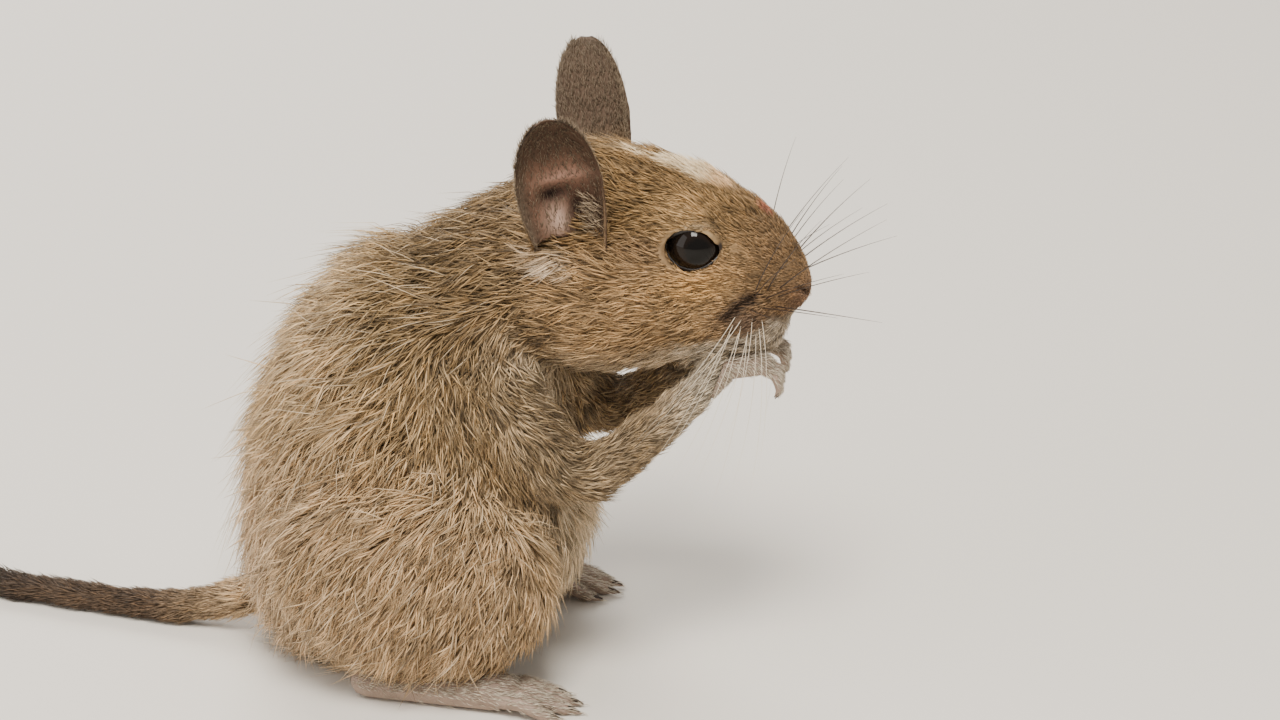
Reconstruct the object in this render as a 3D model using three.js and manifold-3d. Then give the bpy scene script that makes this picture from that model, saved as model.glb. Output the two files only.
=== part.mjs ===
// A degu, life size, sitting up on its haunches with both forepaws held under its chin.
// Millimetres, +X the way it faces, +Y its left, +Z up, the floor at z = 0.
// Lengths along the body are measured back from the nose tip, and the whole
// animal is moved at the end so that the middle of its footprint is the origin.
import * as THREE from "three";
import { LoftGeometry } from "three/addons/geometries/LoftGeometry.js";
import { mergeVertices } from "three/addons/utils/BufferGeometryUtils.js";
import Module from "manifold-3d";

const wasm = await Module();
wasm.setup();

// Driving dimensions
const GAP = 0.3;
const EYE = { back: 18.7, side: 6.7, height: 79.2, radius: 4.7, lid: 0.9 };
const EYE_OPENING = { half_length: 4.5, half_height: 3.3, tilt: 0.05, fullness: 1.32, pull: 0.52 };
const EAR = { back: 38.4, side: 14, foot: 77.6, tip_back: 40.8, tip_side: 20, tip: 104.6 };
const EAR_SHAPE = { half_width: 7.1, foot_width: 0.6, widest_at: 0.52, round_to: 1.004, cup: 4.6,
  rim_out: 1.4, lean: 1.6, turn_forward: 0.44, wall: 0.9 };
const EAR_CANAL = { back: 37.4, side: 15.4, height: 81.6, radii: [3.2, 3, 4] };
const NOSTRIL = { back: 1.5, side: 1.9, height: 70.4, radii: [1.1, 0.75, 0.6], turn: 0.6 };
const HAUNCH = { back: 64, side: 20.5, height: 23, long: 25, wide: 12.5, tall: 20, tilt: 0.16 };
const FOOT = { heel_back: 72, middle_back: 62, ball_back: 49, toe_back: 38, side: 23, splay: 2.2,
  radii: [3.3, 3.6, 4.1], flat: 0.82 };
const TOE = { radius: 1.45, claw: [2.9, 0, -0.55], outer_shorter: 2.6 };
const INNER_TOE = { radius: 1.05, claw: [1.8, 0, -0.4] };
const SHOULDER = { back: 53, side: 12, height: 55 };
const UPPER_ARM = { back: 45, side: 14.6, height: 46 };
const ELBOW = { back: 37, side: 15, height: 40 };
const FOREARM = { back: 26.6, side: 11.4, height: 46 };
const WRIST = { back: 14.4, side: 6.2, height: 56.6 };
const FORELEG_RADII = [7.6, 7.2, 5.6, 4.1, 2.5];
const KNUCKLE = { back: 8.4, side: 5, height: 57.6 };
const PALM = { radii: [2.3, 2.7], flat: 0.72 };
const FINGER = { radius: 0.82, claw: [-0.7, 0, -1.5], tip_height: 53.2, reach: 3.9, outer_shorter: 0.9 };
const THUMB_RADII = [0.75, 0.6];
const TAIL_WAVE = { from: 96, length: 62, side: 13 };
const BRUSH = { locks: 16, rows: 4, length: 17, width: 1.5, root_depth: 0.9 };

// The parting between head and neck, and between neck and trunk, as planes
const HEAD_CUT = { normal: [0.939, 0, 0.345], distance: -18.6 };
const NECK_CUT = { normal: [0.829, 0, 0.5615], distance: -9.6 };

// Profiles of the head against the distance back from the nose tip
const HEAD_TOP = [[0.2, 71.4], [1, 74], [1.9, 76.2], [4.4, 80.2], [6.9, 83.2], [11.1, 86.2],
  [18.6, 90.2], [27, 92.7], [35.4, 93.9], [42, 92.8], [48, 88.4], [53, 83]];
const HEAD_BOTTOM = [[0.2, 69], [1, 67.4], [2.5, 66], [3.6, 64.6], [4.4, 61.8], [5.4, 59.4],
  [7, 58.2], [10, 57.8], [15, 57.4], [22, 56], [30, 54.6], [38, 54], [46, 55.4], [53, 60]];
const HEAD_HALF_WIDTH = [[0.2, 1.4], [1, 2.7], [2.5, 3.9], [4, 4.9], [6, 6.3], [9, 7.8], [13, 9.2],
  [18, 10.7], [24, 12.6], [30, 14.2], [36, 15.2], [42, 15.3], [48, 14.6], [53, 12]];
const HEAD_WIDEST = [[0.2, 70], [2.5, 70], [4, 69], [6, 68.4], [9, 68], [13, 68.6], [18, 70.4],
  [24, 71.2], [30, 70], [36, 69], [44, 69], [53, 71]];
// Swellings of the head: back, side and height of the middle, spread, and rise
const HEAD_SWELLINGS = [
  [7.4, 6.4, 64.6, 2.9, 0.9],
  [18.7, 11, 79.2, 4.4, 1.1],
  [19.5, 8.6, 86, 3.6, 0.5],
  [29, 13.6, 63.5, 7, 1.1],
];

// Stations of the trunk from inside the head to the seat. Each is a cross-section:
// its middle, how far its upper side leans back in degrees, and its reach to the
// back, to the belly and to each side
const TRUNK = [
  { back: 37, height: 72, lean: 8, dorsal: 17, ventral: 14, half: 12 },
  { back: 46, height: 70.5, lean: 20, dorsal: 16.6, ventral: 15.5, half: 14.6 },
  { back: 53, height: 64, lean: 35, dorsal: 17.6, ventral: 18, half: 17.4 },
  { back: 59, height: 57, lean: 48, dorsal: 24, ventral: 22, half: 21 },
  { back: 64, height: 48, lean: 62, dorsal: 27, ventral: 27, half: 24.4 },
  { back: 66, height: 38, lean: 76, dorsal: 29.6, ventral: 29.6, half: 26.8 },
  { back: 66.5, height: 28, lean: 87, dorsal: 31, ventral: 30.4, half: 27.8 },
  { back: 67, height: 18, lean: 93, dorsal: 30.6, ventral: 29.6, half: 26.8 },
  { back: 68, height: 9, lean: 96, dorsal: 27.4, ventral: 26, half: 23.6 },
  { back: 70, height: 2.6, lean: 92, dorsal: 22, ventral: 19, half: 18 },
  { back: 71, height: 0, lean: 90, dorsal: 16, ventral: 12, half: 12 },
];

// Helpers for smooth curves through a few named points

function profile(points) {
  // Catmull-Rom interpolation of a value against a rising first number
  const slope = (i) => {
    const a = points[Math.max(i - 1, 0)];
    const b = points[Math.min(i + 1, points.length - 1)];
    return (b[1] - a[1]) / (b[0] - a[0]);
  };
  return (at) => {
    const last = points.length - 2;
    let i = points.findIndex((p, k) => k <= last && at <= points[k + 1][0]);
    if (i < 0) i = last;
    const [x0, y0] = points[i];
    const [x1, y1] = points[i + 1];
    const h = x1 - x0;
    const t = Math.min(Math.max((at - x0) / h, 0), 1);
    const bend = (2 * t ** 3 - 3 * t ** 2 + 1) * y0 + (3 * t ** 2 - 2 * t ** 3) * y1;
    return bend + h * ((t ** 3 - 2 * t ** 2 + t) * slope(i) + (t ** 3 - t ** 2) * slope(i + 1));
  };
}

function steps(from, to, count) {
  return Array.from({ length: count }, (_, i) => from + ((to - from) * i) / (count - 1));
}

const point = (back, side, height) => new THREE.Vector3(-back, side, height);

// A closed geometry as a solid with its faces turned outwards
function solid(geometry) {
  const bare = new THREE.BufferGeometry();
  const flat = geometry.index ? geometry.toNonIndexed() : geometry;
  bare.setAttribute("position", flat.getAttribute("position"));
  const merged = mergeVertices(bare, 1e-4);
  const triVerts = new Uint32Array(merged.index.array);
  const vertProperties = merged.attributes.position.array;
  const made = new wasm.Manifold(new wasm.Mesh({ numProp: 3, vertProperties, triVerts }));
  if (made.volume() > 0) return made;
  return new wasm.Manifold(new wasm.Mesh({ numProp: 3, vertProperties, triVerts: triVerts.reverse() }));
}

// The largest closed body of a solid, which drops loose scraps
function largest(made) {
  return made.decompose().sort((a, b) => b.volume() - a.volume())[0];
}

function joined(solids) {
  return solids.reduce((all, one) => all.add(one));
}

// A closed skin through rings of points, each wound so that the faces point outwards
function loft(rings) {
  const middle = (ring) => ring.reduce((sum, p) => sum.add(p), new THREE.Vector3())
    .divideScalar(ring.length);
  const start = middle(rings[0]);
  const turn = rings[0].reduce((sum, p, i) => sum.add(p.clone().sub(start)
    .cross(rings[0][(i + 1) % rings[0].length].clone().sub(start))), new THREE.Vector3());
  const inward = turn.dot(middle(rings[1]).sub(start)) < 0;
  const sections = inward ? rings.map((ring) => [...ring].reverse()) : rings;
  return solid(new LoftGeometry(sections, { capStart: true, capEnd: true }));
}

// A round-ended limb along a smooth path. radii are spread evenly along it,
// flat is the height of its section against its width, grow adds to both, and
// a sunk one starts flat, inside what it grows from
function limb(points, radii, { rows, sides, flat = 1, across = [0, 1, 0], grow = 0, sunk = false }) {
  const path = new THREE.CatmullRomCurve3(points, false, "centripetal");
  const radius = profile(radii.map((r, i) => [i / (radii.length - 1), r]));
  const wide = new THREE.Vector3(...across);
  const ring = (t, along, share) => {
    const forward = path.getTangent(t);
    const up = new THREE.Vector3().crossVectors(forward, wide).normalize();
    const side = new THREE.Vector3().crossVectors(up, forward).normalize();
    const r = (radius(t) + grow) * share;
    const middle = path.getPoint(t).addScaledVector(forward, along * (radius(t) + grow));
    return steps(0, 2 * Math.PI, sides + 1).slice(0, sides).map((a) => middle.clone()
      .addScaledVector(side, r * Math.cos(a)).addScaledVector(up, r * flat * Math.sin(a)));
  };
  const sections = sunk ? [] : [ring(0, -0.9, 0.35), ring(0, -0.55, 0.8)];
  steps(0, 1, rows).forEach((t) => sections.push(ring(t, 0, 1)));
  sections.push(ring(1, 0.55, 0.8), ring(1, 0.9, 0.35));
  return loft(sections);
}

function ellipsoid(centre, radii, lean, segments) {
  const ball = new THREE.SphereGeometry(1, ...segments);
  ball.scale(...radii).rotateY(lean).translate(centre.x, centre.y, centre.z);
  return solid(ball);
}

// Head: a loft of oval sections from the nose to the nape

const top = profile(HEAD_TOP);
const bottom = profile(HEAD_BOTTOM);
const halfWidth = profile(HEAD_HALF_WIDTH);
const widest = profile(HEAD_WIDEST);

function headSection(back, sides, grow) {
  return steps(0, 2 * Math.PI, sides + 1).slice(0, sides).map((a) => {
    const mid = widest(back);
    const reach = Math.sin(a) > 0 ? top(back) - mid : mid - bottom(back);
    const side = halfWidth(back) * Math.cos(a);
    const rise = reach * Math.sin(a);
    const swell = HEAD_SWELLINGS.reduce((sum, [b, s, h, spread, height]) => {
      const far = (back - b) ** 2 + (Math.abs(side) - s) ** 2 + (mid + rise - h) ** 2;
      return sum + height * Math.exp(-far / (2 * spread ** 2));
    }, grow);
    const length = Math.hypot(side, rise);
    return point(back, side * (1 + swell / length), mid + rise * (1 + swell / length));
  });
}

// The stations stand closer together towards the nose, where the form is finest
const HEAD_STATIONS = [0.2, 0.6, 1.2, 2, 2.9, 3.7, 4.3, 4.9, 5.7, 6.7, 7.9, 9.2, 10.8, 12.5, 14.4,
  16.4, 18.6, 20.9, 23.4, 26, 29, 32.2, 35.6, 39.4, 43.6, 48, 52];
const HEAD_SIDES = 32;

function headLoft(grow = 0) {
  return loft(HEAD_STATIONS.map((back) => headSection(back, HEAD_SIDES, grow)));
}

// The trunk, neck included: a loft whose sections lean from the neck to the seat
const TRUNK_SIDES = 26;
const TRUNK_SECTIONS = 20;

function trunkLoft() {
  const read = (key) => profile(TRUNK.map((s, i) => [i, s[key]]));
  const [back, height, lean, dorsal, ventral, half] =
    ["back", "height", "lean", "dorsal", "ventral", "half"].map(read);
  const sections = steps(0, TRUNK.length - 1, TRUNK_SECTIONS).map((t) => {
    const tilt = THREE.MathUtils.degToRad(lean(t));
    return steps(0, 2 * Math.PI, TRUNK_SIDES + 1).slice(0, TRUNK_SIDES).map((a) => {
      const reach = (Math.sin(a) > 0 ? dorsal(t) : ventral(t)) * Math.sin(a);
      return point(back(t) + Math.sin(tilt) * reach, half(t) * Math.cos(a),
        height(t) + Math.cos(tilt) * reach);
    });
  });
  return loft(sections);
}

// Ear: a thin cup, narrower at its foot and round at its tip. Each section is a
// ring that runs over the inner face and comes back over the outer one
const EAR_STATIONS = [0, 0.1, 0.2, 0.32, 0.44, 0.56, 0.67, 0.77, 0.85, 0.92, 0.965, 0.99, 1];
const EAR_COLUMNS = 9;
const EAR_INNER_MARGIN = 0.25;
const CUP_ROUNDNESS = 1.4;

// How wide the ear is at a share of its height: below the widest place it narrows
// to the foot, and above it the outline is half an ellipse
function earWidth(share) {
  const { foot_width, widest_at, round_to } = EAR_SHAPE;
  if (share > widest_at) return Math.sqrt(1 - ((share - widest_at) / (round_to - widest_at)) ** 2);
  return THREE.MathUtils.lerp(foot_width, 1, Math.sin((Math.PI / 2) * (share / widest_at)));
}

function ear(side) {
  const { half_width, cup, rim_out, lean, turn_forward, wall } = EAR_SHAPE;
  const foot = point(EAR.back, side * EAR.side, EAR.foot);
  const tip = point(EAR.tip_back, side * EAR.tip_side, EAR.tip);
  const rise = tip.clone().sub(foot);
  const outward = new THREE.Vector3(Math.sin(turn_forward), side * Math.cos(turn_forward), 0);
  const forward = new THREE.Vector3().crossVectors(outward, rise).multiplyScalar(side).normalize();
  const sections = EAR_STATIONS.map((share) => {
    const wide = earWidth(share);
    const deep = cup * THREE.MathUtils.lerp(0.45, 1, wide) * THREE.MathUtils.lerp(1.15, 0.6, share);
    const hollow = (across) => deep * Math.max(1 - across ** 2, 0) ** (CUP_ROUNDNESS / 2);
    const face = (across, half, through) => foot.clone().addScaledVector(rise, share)
      .addScaledVector(forward, half * across + lean * (0.5 - share))
      .addScaledVector(outward, rim_out - through - hollow(across));
    const half = half_width * wide;
    const inner = steps(-1, 1, EAR_COLUMNS).map((a) => face(a, half - EAR_INNER_MARGIN, 0));
    const outer = steps(1, -1, EAR_COLUMNS).map((a) => face(a, half, wall));
    return [...inner, ...outer];
  });
  return loft(sections);
}

// Eye: a ball behind two lids that part in an almond

const eyeCentre = (side) => point(EYE.back, side * EYE.side, EYE.height);

function eyeball(side, grow, segments) {
  const radius = EYE.radius + grow;
  return ellipsoid(eyeCentre(side), [radius, radius, radius], 0, segments);
}

function eyeOpening(side) {
  const { half_length: l, half_height: h, tilt, fullness, pull } = EYE_OPENING;
  const depth = 10;
  const nearest = 2.5;
  const almond = new THREE.Shape();
  almond.moveTo(-l, 0);
  almond.bezierCurveTo(-l * pull, h * fullness, l * pull, h * fullness, l, 0);
  almond.bezierCurveTo(l * pull, -h * fullness, -l * pull, -h * fullness, -l, 0);
  const cutter = new THREE.ExtrudeGeometry(almond, { depth, bevelEnabled: false, curveSegments: 8 });
  const c = eyeCentre(side);
  cutter.rotateZ(tilt).rotateX(Math.PI / 2);
  cutter.translate(c.x, side > 0 ? c.y + nearest + depth : c.y - nearest, c.z);
  return solid(cutter);
}

// Muzzle: nostrils, the cleft of the upper lip and the line of the mouth, cut as thin grooves
function muzzleCuts() {
  const cuts = [];
  for (const side of [1, -1]) {
    const place = point(NOSTRIL.back, side * NOSTRIL.side, NOSTRIL.height);
    cuts.push(ellipsoid(place, NOSTRIL.radii, NOSTRIL.turn, [10, 8]));
    const line = [point(3.4, side * 0.2, 62.9), point(4.6, side * 2.9, 62.6), point(7.2, side * 6, 61.6),
      point(10.4, side * 7.9, 60.6)];
    cuts.push(limb(line, [0.45, 0.45, 0.4, 0.25], { rows: 6, sides: 5, across: [0, 0, 1] }));
  }
  const cleft = [point(0.9, 0, 68.2), point(2.6, 0, 65.6), point(3.7, 0, 63)];
  cuts.push(limb(cleft, [0.4, 0.4, 0.4], { rows: 5, sides: 6 }));
  return joined(cuts);
}

// Legs

function haunch(side, grow = 0) {
  const { back, height, long, wide, tall, tilt } = HAUNCH;
  const middle = point(back, side * HAUNCH.side, height);
  return ellipsoid(middle, [long + grow, wide + grow, tall + grow], tilt, [20, 12]);
}

// The sole narrows and turns in a little towards the heel
function hindSole(side, grow = 0) {
  const { heel_back, middle_back, ball_back, radii, flat } = FOOT;
  const s = side * FOOT.side;
  const line = [point(heel_back, s * 0.94, 2.5), point(middle_back, s * 0.97, 2.7),
    point(ball_back + 1, s, 2.9)];
  return limb(line, radii, { rows: 6, sides: 10, flat, grow });
}

// A toe or finger with its claw, which bows a little on its way to the point
function digit(root, knuckle, tip, radius, claw) {
  const end = tip.clone().add(new THREE.Vector3(...claw));
  const arched = new THREE.Vector3(-claw[2], 0, claw[0]).normalize();
  const bow = tip.clone().lerp(end, 0.55).addScaledVector(arched, 0.25);
  const flesh = [radius, radius * 0.95, radius * 0.72];
  const horn = [radius * 0.6, radius * 0.45, radius * 0.16];
  return joined([
    limb([root, knuckle, tip], flesh, { rows: 3, sides: 6, sunk: true }),
    limb([tip, bow, end], horn, { rows: 2, sides: 4, sunk: true }),
  ]);
}

const DIGIT_PLACES = [-1.5, -0.5, 0.5, 1.5];

function hindFoot(side) {
  const s = side * FOOT.side;
  const ball = FOOT.ball_back;
  const digits = DIGIT_PLACES.map((place) => {
    const spread = (reach) => s + side * place * reach;
    const shorter = Math.abs(place) > 1 ? TOE.outer_shorter : 0;
    const root = point(ball, spread(FOOT.splay - 0.3), 2.6);
    const knuckle = point(ball - 5 + shorter / 2, spread(FOOT.splay + 0.3), 2.7);
    const tip = point(FOOT.toe_back + shorter, spread(FOOT.splay + 0.9), 1);
    return digit(root, knuckle, tip, TOE.radius, TOE.claw);
  });
  const innerRoot = point(ball + 5, s - side * 3.4, 2.4);
  const innerKnuckle = point(ball + 2, s - side * 4.6, 2);
  const innerTip = point(ball - 0.5, s - side * 5, 1);
  const inner = digit(innerRoot, innerKnuckle, innerTip, INNER_TOE.radius, INNER_TOE.claw);
  return joined([hindSole(side), inner, ...digits]);
}

const onSide = (place, side) => point(place.back, side * place.side, place.height);

function foreleg(side, grow = 0) {
  const line = [SHOULDER, UPPER_ARM, ELBOW, FOREARM, WRIST].map((place) => onSide(place, side));
  return limb(line, FORELEG_RADII, { rows: 12, sides: 12, grow });
}

function forepaw(side) {
  const { back, height } = KNUCKLE;
  const palm = limb([onSide(WRIST, side), onSide(KNUCKLE, side)], PALM.radii,
    { rows: 3, sides: 8, flat: PALM.flat });
  const digits = DIGIT_PLACES.map((place) => {
    const spread = (reach) => side * KNUCKLE.side + place * reach;
    const shorter = Math.abs(place) > 1 ? FINGER.outer_shorter : 0;
    const root = point(back - 0.6, spread(1.25), height);
    const knuckle = point(back - 3.4, spread(1.4), height - 1.4);
    const tip = point(back - FINGER.reach, spread(1.35), FINGER.tip_height + shorter);
    return digit(root, knuckle, tip, FINGER.radius, FINGER.claw);
  });
  const thumb = limb([point(back + 1, side * (KNUCKLE.side - 1.9), height - 0.6),
    point(back - 0.4, side * (KNUCKLE.side - 2.2), height - 2.4)], THUMB_RADII, { rows: 3, sides: 8 });
  return joined([palm, thumb, ...digits]);
}

// Tail: it leaves the rump, comes down to the floor and ends in a brush of bristly locks
const TAIL_ROOT = { backs: [84, 94, 103, 112, 122], heights: [10, 8, 4.6, 2.9, 2.7],
  radii: [5, 4.8, 3.9, 3.3, 3], rows: 10 };
const TAIL_MIDDLE = { backs: [122, 133, 144, 156], heights: [2.7, 2.55, 2.4, 2.3],
  radii: [3, 2.8, 2.65, 2.5], rows: 8 };
const TAIL_BRUSH = { backs: [156, 164, 173, 182], heights: [2.3, 2.4, 2.6, 2.6],
  radii: [2.5, 2.6, 2.4, 1.2], rows: 10 };

function tailLine({ backs, heights }) {
  const { from, length, side } = TAIL_WAVE;
  return backs.map((back, i) => {
    const along = Math.max(back - from, 0) / length;
    return point(back, side * Math.sin(along) ** 2, heights[i]);
  });
}

function tailLength(stretch, grow = 0) {
  return limb(tailLine(stretch), stretch.radii, { rows: stretch.rows, sides: 10, grow });
}

// A flat lock that leaves the tail at a slant and bends back along it
function lock(root, along, out, length) {
  const { width } = BRUSH;
  const middle = root.clone().addScaledVector(along, length * 0.45).addScaledVector(out, length * 0.16);
  const end = root.clone().addScaledVector(along, length).addScaledVector(out, length * 0.2);
  const across = new THREE.Vector3().crossVectors(along, out).toArray();
  const radii = [width * 0.8, width, width * 0.25];
  return limb([root, middle, end], radii, { rows: 3, sides: 4, flat: 0.55, across, sunk: true });
}

// The locks stand in rows over the top and sides of the tail, from a little below one
// side to a little below the other, and no two neighbours are of one length
function tailBrush() {
  const path = new THREE.CatmullRomCurve3(tailLine(TAIL_BRUSH));
  const below = 0.25;
  const perRow = Math.round(BRUSH.locks / BRUSH.rows);
  const locks = [];
  for (let row = 0; row < BRUSH.rows; row += 1) {
    const t = 0.12 + (0.86 * row) / (BRUSH.rows - 1);
    const along = path.getTangent(t);
    const side = new THREE.Vector3(0, 0, 1).cross(along).normalize();
    for (let i = 0; i < perRow; i += 1) {
      const angle = -below + ((Math.PI + 2 * below) * (i + (row % 2) * 0.5)) / (perRow - 0.5);
      const out = side.clone().multiplyScalar(Math.cos(angle)).add(new THREE.Vector3(0, 0, Math.sin(angle)));
      const root = path.getPoint(t).addScaledVector(out, BRUSH.root_depth);
      const shorter = 0.06 * ((i * 3 + row) % 4);
      locks.push(lock(root, along, out, BRUSH.length * (1 - shorter)));
    }
  }
  return joined([tailLength(TAIL_BRUSH), ...locks]);
}

// Putting the animal together: the whole is modelled first and then parted by thin cuts
const floorUp = (made) => made.trimByPlane([0, 0, 1], 0);
const ahead = (made, cut) => made.trimByPlane(cut.normal, cut.distance + GAP / 2);
const behind = (made, cut) => made.trimByPlane(cut.normal.map((n) => -n), -cut.distance + GAP / 2);
const pair = [["left", 1], ["right", -1]];
const WRIST_NORMAL = [0.94, 0, -0.34];
const WRIST_CUT = { normal: WRIST_NORMAL,
  distance: -WRIST.back * WRIST_NORMAL[0] + WRIST.height * WRIST_NORMAL[2] };

const whole = joined([headLoft(), trunkLoft()]);
const headGrown = headLoft(GAP);
const nodes = {
  head: ahead(whole, HEAD_CUT).subtract(muzzleCuts()),
  neck: ahead(behind(whole, HEAD_CUT), NECK_CUT),
  torso: behind(whole, NECK_CUT).subtract(tailLength(TAIL_ROOT, GAP)),
  tail_root: tailLength(TAIL_ROOT),
  tail_middle: tailLength(TAIL_MIDDLE).subtract(tailLength(TAIL_ROOT, GAP)),
  tail_brush: tailBrush().subtract(tailLength(TAIL_MIDDLE, GAP)),
};

for (const [name, side] of pair) {
  const lids = eyeball(side, EYE.lid, [18, 12]);
  const socket = eyeball(side, GAP, [16, 10]);
  const canal = ellipsoid(onSide(EAR_CANAL, side), EAR_CANAL.radii, 0, [14, 10]);
  nodes.head = nodes.head.add(lids).subtract(eyeOpening(side)).subtract(socket).subtract(canal);
  nodes["eye_" + name] = eyeball(side, 0, [16, 10]);
  nodes["ear_" + name] = ear(side).subtract(headGrown);

  const legGrown = foreleg(side, GAP);
  const footGrown = floorUp(hindSole(side, GAP));
  nodes.neck = nodes.neck.subtract(legGrown);
  nodes.torso = nodes.torso.subtract(haunch(side, GAP)).subtract(legGrown).subtract(footGrown);
  nodes["haunch_" + name] = haunch(side).subtract(footGrown);
  nodes["hind_foot_" + name] = hindFoot(side);

  const wristEnd = foreleg(side).intersect(ellipsoid(onSide(WRIST, side), [3, 5, 5], 0, [22, 14]));
  const paw = joined([wristEnd, forepaw(side)]);
  nodes["foreleg_" + name] = behind(foreleg(side), WRIST_CUT).subtract(headGrown);
  nodes["forepaw_" + name] = ahead(paw, WRIST_CUT).subtract(headGrown);
}

// Materials of the parts
const COLOURS = {
  coat: { color: 0x9a7d58, roughness: 0.9 },
  ear: { color: 0x5c463a, roughness: 0.75 },
  foot: { color: 0x9b8779, roughness: 0.8 },
  eye: { color: 0x14100d, roughness: 0.12 },
  brush: { color: 0x1d1713, roughness: 0.85 },
};

function finishOf(name) {
  if (name.startsWith("ear")) return "ear";
  if (name.startsWith("eye")) return "eye";
  if (name.startsWith("forepaw") || name.startsWith("hind_foot")) return "foot";
  return name === "tail_brush" ? "brush" : "coat";
}

const animal = new THREE.Group();
for (const [name, made] of Object.entries(nodes)) {
  const closed = largest(floorUp(made));
  const { vertProperties, triVerts } = closed.getMesh();
  const geometry = new THREE.BufferGeometry();
  geometry.setAttribute("position", new THREE.BufferAttribute(vertProperties, 3));
  geometry.setIndex(new THREE.BufferAttribute(triVerts, 1));
  const finish = new THREE.MeshStandardMaterial({ ...COLOURS[finishOf(name)], metalness: 0 });
  const mesh = new THREE.Mesh(geometry, finish);
  mesh.name = name;
  animal.add(mesh);
}

// The middle of the footprint goes to the origin
const box = new THREE.Box3().setFromObject(animal);
animal.position.set(-(box.min.x + box.max.x) / 2, -(box.min.y + box.max.y) / 2, 0);

export default animal;
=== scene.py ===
import math

import bmesh
import bpy
import numpy as np
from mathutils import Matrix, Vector
from mathutils.bvhtree import BVHTree


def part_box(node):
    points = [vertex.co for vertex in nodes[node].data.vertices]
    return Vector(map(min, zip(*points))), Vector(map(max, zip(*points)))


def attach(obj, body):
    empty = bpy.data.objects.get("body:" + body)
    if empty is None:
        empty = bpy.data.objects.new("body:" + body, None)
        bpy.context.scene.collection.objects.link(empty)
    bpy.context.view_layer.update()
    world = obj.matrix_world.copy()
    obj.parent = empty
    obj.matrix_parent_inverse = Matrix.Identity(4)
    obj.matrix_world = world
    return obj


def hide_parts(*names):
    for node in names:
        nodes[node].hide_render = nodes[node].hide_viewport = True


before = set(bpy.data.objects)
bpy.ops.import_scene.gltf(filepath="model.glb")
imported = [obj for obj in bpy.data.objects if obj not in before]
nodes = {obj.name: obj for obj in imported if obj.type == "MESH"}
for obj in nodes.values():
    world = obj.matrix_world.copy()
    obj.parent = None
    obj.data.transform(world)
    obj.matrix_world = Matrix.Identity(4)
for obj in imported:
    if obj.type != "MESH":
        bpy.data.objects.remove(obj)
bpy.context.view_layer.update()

# Skin
# The hide under the coat: one closed surface over head, neck, trunk, legs and tail.
# It is grown over the solids of the frame and drawn in by the depth of the fur.
MM = 0.001
FLESH = ["head", "neck", "torso", "haunch_left", "haunch_right", "foreleg_left", "foreleg_right",
         "tail_root", "tail_middle"]
SKIN_VOXEL, SKIN_SWELL = 0.97 * MM, 0.22 * MM
# How far skin, tufts and paws stay above the floor at least
SKIN_CLEAR, TUFT_CLEAR, PAW_CLEAR = 0.05 * MM, 0.06 * MM, 0.03 * MM
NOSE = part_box("head")[1].x + 0.2 * MM
OUTWARD = {"left": 1, "right": -1}


def at(back, side, height):
    """A place on the animal: millimetres back from the nose tip, to its left, and up."""
    return Vector((NOSE - back * MM, side * MM, height * MM))


def blend_step(low, high, values):
    t = np.clip((values - low) / (high - low), 0, 1)
    return t * t * (3 - 2 * t)


def merged_copy(node_names, swell):
    """One mesh with copies of the nodes, their corners merged and moved out along the normals."""
    whole = bmesh.new()
    for node_name in node_names:
        part = bmesh.new()
        part.from_mesh(nodes[node_name].data)
        bmesh.ops.remove_doubles(part, verts=part.verts, dist=0.002 * MM)
        part.normal_update()
        for vertex in part.verts:
            vertex.co += vertex.normal * swell
        mesh = bpy.data.meshes.new("copy")
        part.to_mesh(mesh)
        part.free()
        whole.from_mesh(mesh)
        bpy.data.meshes.remove(mesh)
    mesh = bpy.data.meshes.new("copy")
    whole.to_mesh(mesh)
    whole.free()
    return mesh


def new_piece(name, mesh, smooth=True):
    piece = bpy.data.objects.new(name, mesh)
    bpy.context.scene.collection.objects.link(piece)
    mesh.polygons.foreach_set("use_smooth", np.full(len(mesh.polygons), smooth))
    return piece


def applied(piece):
    """The piece with its modifiers worked into a plain mesh."""
    evaluated = piece.evaluated_get(bpy.context.evaluated_depsgraph_get())
    mesh = bpy.data.meshes.new_from_object(evaluated)
    piece.modifiers.clear()
    old = piece.data
    piece.data = mesh
    bpy.data.meshes.remove(old)
    return piece


def fused(name, node_names, voxel, swell):
    piece = new_piece(name, merged_copy(node_names, swell))
    remesh = piece.modifiers.new("fuse", "REMESH")
    remesh.mode = "VOXEL"
    remesh.voxel_size = voxel
    remesh.use_smooth_shade = True
    return applied(piece)


def places(mesh):
    flat = np.empty(len(mesh.vertices) * 3)
    mesh.vertices.foreach_get("co", flat)
    return flat.reshape(-1, 3)


def set_places(mesh, points):
    mesh.vertices.foreach_set("co", np.asarray(points, float).ravel())
    mesh.update()


def normals_of(mesh):
    flat = np.empty(len(mesh.vertices) * 3)
    mesh.vertex_normals.foreach_get("vector", flat)
    return flat.reshape(-1, 3)


def relaxed(mesh, values, rounds, share=0.5):
    """Values at the vertices, each drawn towards the mean of its neighbours."""
    edges = np.empty(len(mesh.edges) * 2, int)
    mesh.edges.foreach_get("vertices", edges)
    a, b = edges.reshape(-1, 2).T
    count = np.bincount(a, minlength=len(values)) + np.bincount(b, minlength=len(values))
    for _ in range(rounds):
        mean = np.empty_like(values)
        for k in range(values.shape[1]):
            total = np.bincount(a, values[b, k], len(values)) + np.bincount(b, values[a, k], len(values))
            mean[:, k] = total / count.clip(1)
        values = values + share * (mean - values)
    return values


trees = {}
for node_name in FLESH:
    node_mesh = nodes[node_name].data
    trees[node_name] = BVHTree.FromPolygons([v.co for v in node_mesh.vertices],
                                            [p.vertices for p in node_mesh.polygons])


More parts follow.
